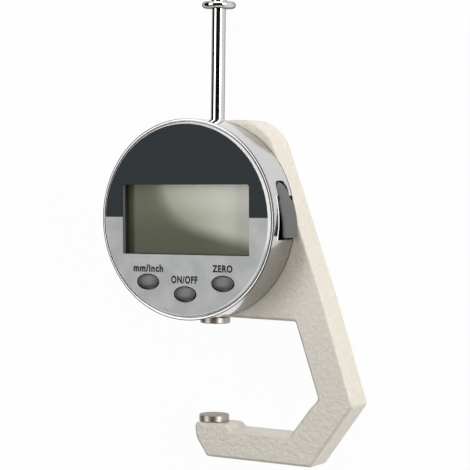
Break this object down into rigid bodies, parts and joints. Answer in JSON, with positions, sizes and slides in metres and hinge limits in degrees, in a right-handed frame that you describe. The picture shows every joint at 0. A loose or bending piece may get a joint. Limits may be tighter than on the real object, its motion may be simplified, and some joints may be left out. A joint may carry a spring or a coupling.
{
  "type": "digital thickness gauge",
  "caption": "Hand-held digital thickness gauge: painted C frame, sliding spindle with lifting cap, measuring discs and a round reading head with display and keys.",
  "frame": {"origin": "centre of the anvil's measuring face, on the spindle axis", "axes": "+Y up the spindle to the lifting cap, +X towards the frame's spine, +Z out of the display"},
  "size_m": [0.0724, 0.1262, 0.0217],
  "materials": {
    "frame_paint": "hammertone, satin",
    "polished_steel": "polished",
    "bush_metal": "turned",
    "seal_rubber": "matt",
    "screw_steel": "turned",
    "carrier_metal": "milled",
    "board_laminate": "solder resist",
    "black_plastic": "matt",
    "head_metal": "satin",
    "face_metal": "finely brushed",
    "dark_field": "satin",
    "display_glass": "smooth",
    "key_plastic": "satin",
    "spring_metal": "bright",
    "cell_steel": "bright",
    "cover_plastic": "satin"
  },
  "bodies": {
    "gauge": {"frame_casting": "frame_paint", "anvil": "polished_steel", "upper_bush": "polished_steel", "lower_bush": "bush_metal", "guide_rail": "bush_metal", "spindle_seal": "seal_rubber", "display_connectors": "seal_rubber", "frame_screws": "screw_steel", "rear_cover_screws": "screw_steel", "board_screws": "screw_steel", "cover_pin": "screw_steel", "main_board": "board_laminate", "sensor_board": "board_laminate", "main_chip": "black_plastic", "board_link": "black_plastic", "display_frame": "black_plastic", "battery_holder": "black_plastic", "rear_cover": "black_plastic", "head_housing": "head_metal", "face_cover": "face_metal", "dark_panel": "dark_field", "display_panel": "display_glass", "dome_units": "spring_metal", "dome_power": "spring_metal", "dome_zero": "spring_metal", "battery_contact_minus": "spring_metal", "battery_contact_plus": "spring_metal", "battery_cell": "cell_steel"},
    "spindle": {"spindle_rod": "polished_steel", "spindle_cap": "polished_steel", "contact_tip": "polished_steel", "scale_carrier": "carrier_metal", "carrier_screw": "screw_steel", "scale_strip": "board_laminate"},
    "key_units": {"button_units": "key_plastic"},
    "key_power": {"button_power": "key_plastic"},
    "key_zero": {"button_zero": "key_plastic"},
    "side_cover": {"battery_cover": "cover_plastic"}
  },
  "joints": [
    {"name": "spindle_slide", "type": "slide", "parent": "gauge", "child": "spindle", "axis": [0, 1, 0], "range_m": [-0.0254, 0]},
    {"name": "key_units_press", "type": "slide", "parent": "gauge", "child": "key_units", "axis": [0, 0, -1], "range_m": [0, 0.0004], "stiffness_N_per_m": 1500},
    {"name": "key_power_press", "type": "slide", "parent": "gauge", "child": "key_power", "axis": [0, 0, -1], "range_m": [0, 0.0004], "stiffness_N_per_m": 1500},
    {"name": "key_zero_press", "type": "slide", "parent": "gauge", "child": "key_zero", "axis": [0, 0, -1], "range_m": [0, 0.0004], "stiffness_N_per_m": 1500},
    {"name": "side_cover_hinge", "type": "hinge", "parent": "gauge", "child": "side_cover", "pos_m": [0.0244, 0.0634, 0.0091], "axis": [0, 0, 1], "range_deg": [-8.5, 60]}
  ]
}
